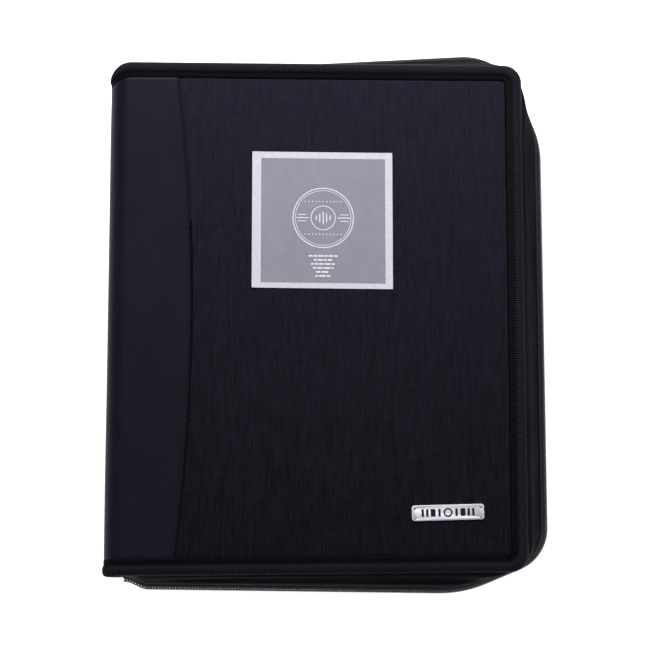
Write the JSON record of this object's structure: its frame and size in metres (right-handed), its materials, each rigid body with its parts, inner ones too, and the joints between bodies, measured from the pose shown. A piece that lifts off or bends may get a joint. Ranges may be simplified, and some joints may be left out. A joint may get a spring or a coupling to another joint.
{
  "type": "portfolio case",
  "caption": "Zip-round ring-binder portfolio case with padded boards, a leather spine panel, an inside organiser, a writing pad and a ring mechanism.",
  "frame": {"origin": "middle of the closed case's footprint, on the surface that its back cover lies on", "axes": "+X from the spine to the zipped fore edge, +Y from tail to head, +Z from the back cover up through the front cover"},
  "size_m": [0.2945, 0.3671, 0.043],
  "materials": {
    "woven_cloth": "fine slub weave, navy black",
    "leather": "smooth synthetic leather",
    "binding_tape": "ribbed grosgrain",
    "gusset_cloth": "close plain weave",
    "zip_tape": "woven tape",
    "zip_coil": "nylon coil",
    "lining": "nylon lining",
    "pocket_leather": "soft grain",
    "elastic": "ribbed elastic",
    "board": "grey board",
    "foam": "thin sheet foam",
    "label_paper": "printed card",
    "pad_paper": "uncoated paper",
    "satin_metal": "satin",
    "nickel": "bright nickel",
    "zip_metal": "black lacquer"
  },
  "bodies": {
    "back_cover": {"back_cover_cloth": "woven_cloth", "back_leather_panel": "leather", "back_foam": "foam", "back_board": "board", "back_lining": "lining", "back_binding": "binding_tape", "back_gusset": "gusset_cloth", "back_zip_tape": "zip_tape", "back_zip_coil": "zip_coil", "back_zip_stops": "zip_metal", "ring_housing": "nickel", "ring_housing_rivets": "nickel", "pad_card_back": "board", "pad_sleeve": "lining", "writing_pad": "pad_paper"},
    "spine": {"spine_leather": "leather", "spine_board": "board", "spine_lining": "lining", "spine_binding": "binding_tape", "back_hinge_leather": "leather", "back_hinge_lining": "lining", "back_hinge_binding": "binding_tape", "front_hinge_leather": "leather", "front_hinge_lining": "lining", "front_hinge_binding": "binding_tape"},
    "front_cover": {"front_cover_cloth": "woven_cloth", "front_leather_panel": "leather", "front_foam": "foam", "front_board": "board", "front_lining": "lining", "front_binding": "binding_tape", "front_gusset": "gusset_cloth", "front_zip_tape": "zip_tape", "front_zip_coil": "zip_coil", "front_zip_stops": "zip_metal", "paper_label": "label_paper", "nameplate": "satin_metal", "nameplate_rivets": "satin_metal", "zip_pocket_panel": "lining", "pocket_zip_tape": "zip_tape", "pocket_zip_coil": "zip_coil", "card_slot_1": "pocket_leather", "card_slot_2": "pocket_leather", "card_slot_3": "pocket_leather", "card_slot_4": "pocket_leather", "phone_pocket": "pocket_leather", "pen_loop_inner": "elastic", "pen_loop_outer": "elastic"},
    "main_zip_slider": {"main_zip_slider": "zip_metal"},
    "main_zip_pull": {"main_zip_pull": "zip_metal"},
    "pocket_zip_slider": {"pocket_zip_slider": "zip_metal"},
    "pocket_zip_pull": {"pocket_zip_pull": "zip_metal"},
    "ring_left": {"ring_blade_left": "nickel", "half_rings_left": "nickel"},
    "ring_right": {"ring_blade_right": "nickel", "half_rings_right": "nickel"},
    "ring_lever_tail": {"ring_lever_tail": "nickel"},
    "ring_lever_head": {"ring_lever_head": "nickel"}
  },
  "joints": [
    {"name": "spine_fold", "type": "hinge", "parent": "back_cover", "child": "spine", "pos_m": [-0.1457, 0, 0.0028], "axis": [0, -1, 0], "range_deg": [0, 90], "deforming": ["back_hinge_leather", "back_hinge_lining", "back_hinge_binding"]},
    {"name": "front_cover_fold", "type": "hinge", "parent": "spine", "child": "front_cover", "pos_m": [-0.1457, 0, 0.0392], "axis": [0, -1, 0], "range_deg": [0, 90], "deforming": ["front_hinge_leather", "front_hinge_lining", "front_hinge_binding"]},
    {"name": "main_zip_run", "type": "slide", "parent": "back_cover", "child": "main_zip_slider", "axis": [0.9987, 0.0511, 0], "range_m": [0, 0.18]},
    {"name": "main_pull_swing", "type": "hinge", "parent": "main_zip_slider", "child": "main_zip_pull", "pos_m": [-0.1172, 0.17384, 0.021], "axis": [0, 0, 1], "range_deg": [0, 160]},
    {"name": "pocket_zip_run", "type": "slide", "parent": "front_cover", "child": "pocket_zip_slider", "axis": [1, 0, 0], "range_m": [0, 0.16]},
    {"name": "pocket_pull_swing", "type": "hinge", "parent": "pocket_zip_slider", "child": "pocket_zip_pull", "pos_m": [-0.0615, 0.132, 0.03214], "axis": [0, 1, 0], "range_deg": [0, 90]},
    {"name": "ring_left_open", "type": "hinge", "parent": "back_cover", "child": "ring_left", "pos_m": [-0.1085, 0, 0.0077], "axis": [0, -1, 0], "range_deg": [0, 14]},
    {"name": "ring_right_open", "type": "hinge", "parent": "back_cover", "child": "ring_right", "pos_m": [-0.1085, 0, 0.0077], "axis": [0, -1, 0], "range_deg": [-14, 0]},
    {"name": "tail_lever_press", "type": "hinge", "parent": "back_cover", "child": "ring_lever_tail", "pos_m": [-0.1085, -0.1405, 0.0084], "axis": [1, 0, 0], "range_deg": [0, 7]},
    {"name": "head_lever_press", "type": "hinge", "parent": "back_cover", "child": "ring_lever_head", "pos_m": [-0.1085, 0.1405, 0.0084], "axis": [1, 0, 0], "range_deg": [-7, 0]}
  ],
  "couplings": [
    {"joint": "ring_right_open", "follows": "ring_left_open", "ratio": -1},
    {"joint": "tail_lever_press", "follows": "ring_left_open", "ratio": 0.5},
    {"joint": "head_lever_press", "follows": "ring_left_open", "ratio": -0.5}
  ]
}
